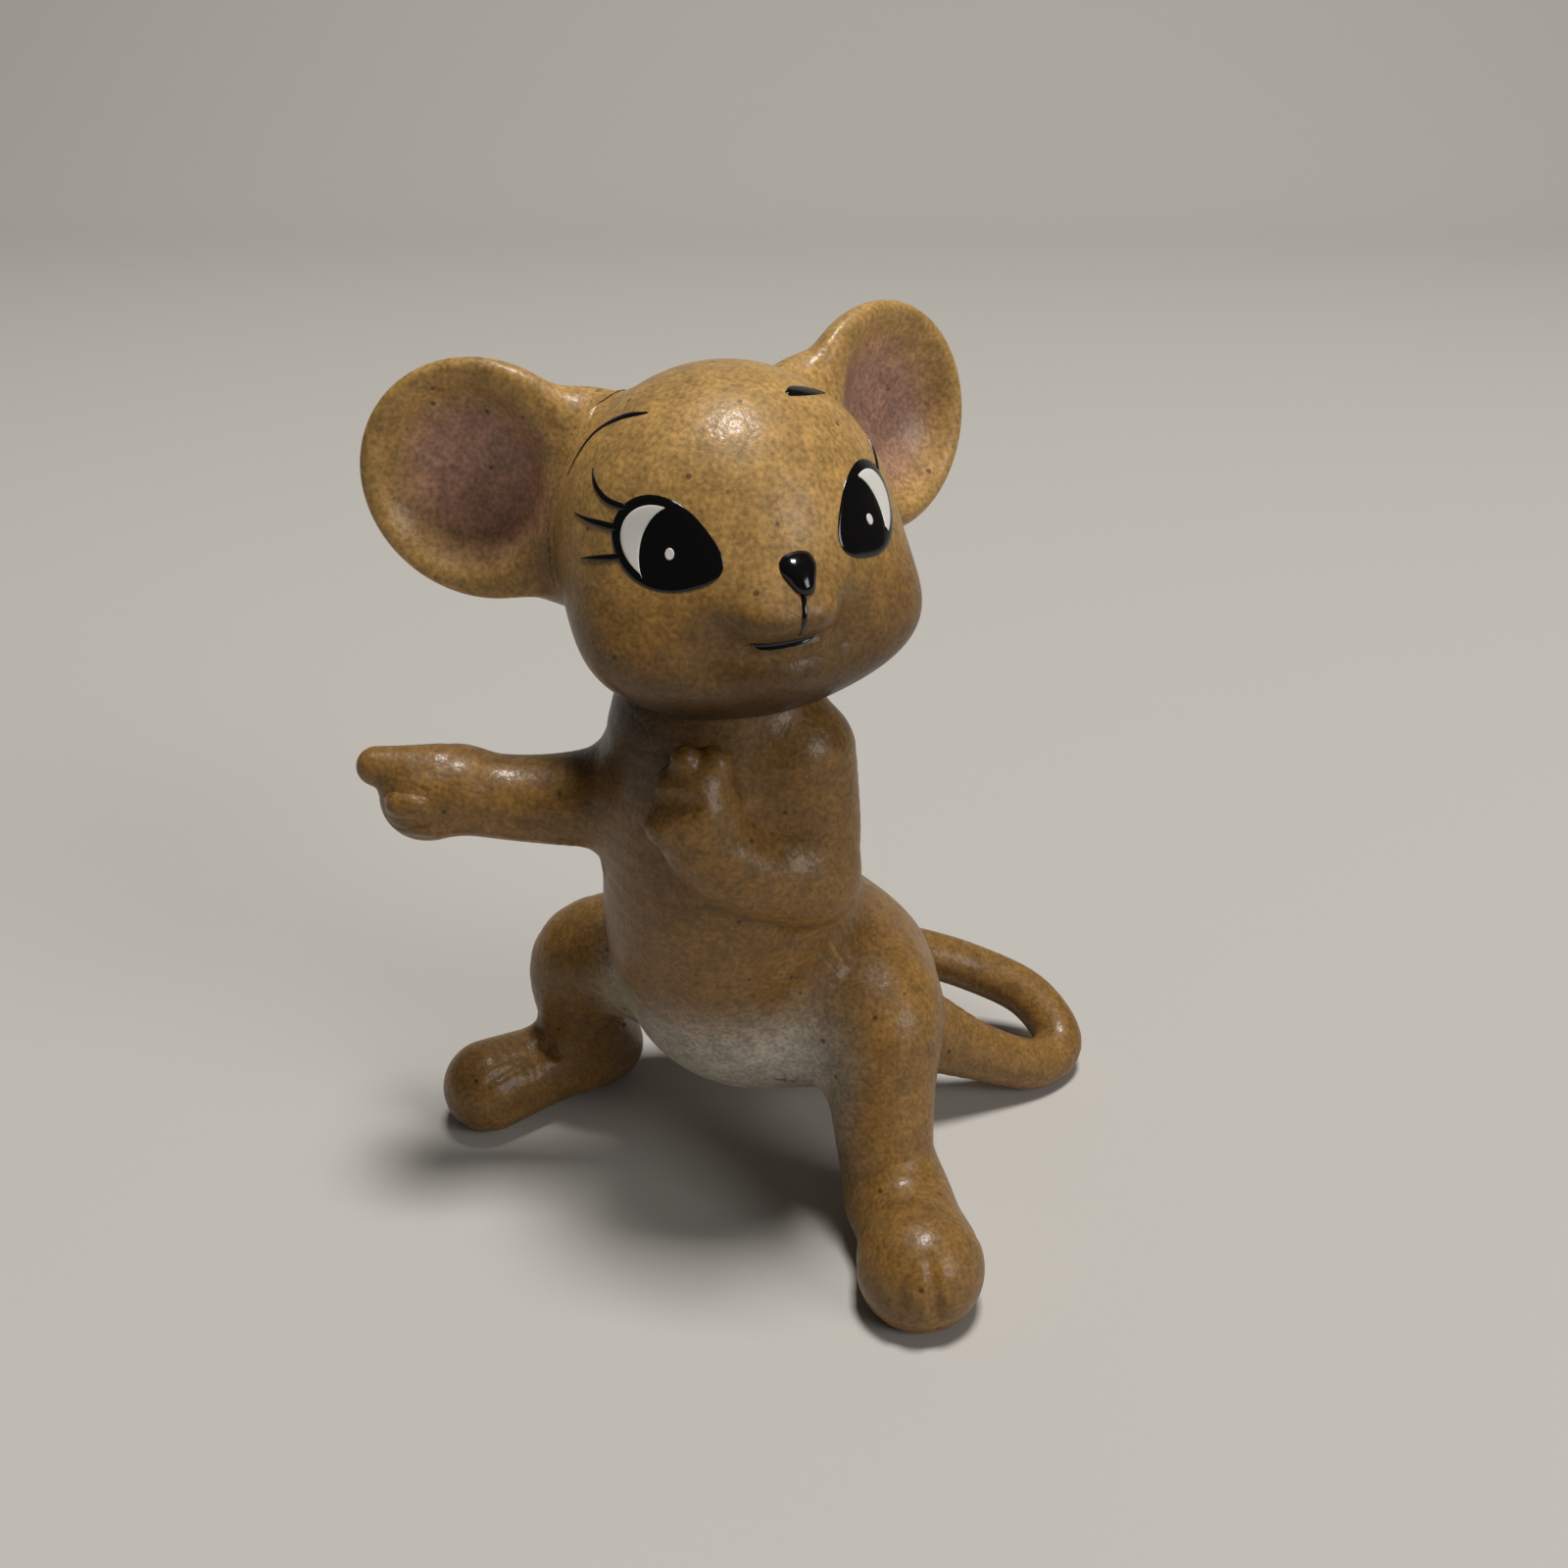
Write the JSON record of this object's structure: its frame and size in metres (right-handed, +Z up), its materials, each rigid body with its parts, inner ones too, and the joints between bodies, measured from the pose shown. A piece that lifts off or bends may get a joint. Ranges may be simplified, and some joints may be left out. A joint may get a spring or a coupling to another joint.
{
  "type": "mouse figurine",
  "caption": "Miniature ceramic mouse crouching on splayed hind feet, head turned aside, one arm pointing out, tail looped behind; stands on its soles and tail.",
  "frame": {"origin": "on the table, under the middle of the figure's bounding box", "axes": "+X the mouse's left, +Y its back, +Z up"},
  "size_m": [0.0348, 0.029, 0.0472],
  "materials": {
    "brown_glaze": "satin grained",
    "ear_glaze": "satin grained",
    "black_enamel": "gloss",
    "white_enamel": "gloss"
  },
  "bodies": {
    "root": {"torso": "brown_glaze", "head": "brown_glaze", "left_arm": "brown_glaze", "right_arm": "brown_glaze", "left_leg": "brown_glaze", "right_leg": "brown_glaze", "tail": "brown_glaze", "left_ear": "ear_glaze", "right_ear": "ear_glaze", "nose": "black_enamel", "left_eye_black": "black_enamel", "right_eye_black": "black_enamel", "left_brow": "black_enamel", "right_brow": "black_enamel", "mouth_line": "black_enamel", "left_eye_white": "white_enamel", "right_eye_white": "white_enamel", "left_eye_glint": "white_enamel", "right_eye_glint": "white_enamel"}
  },
  "joints": []
}
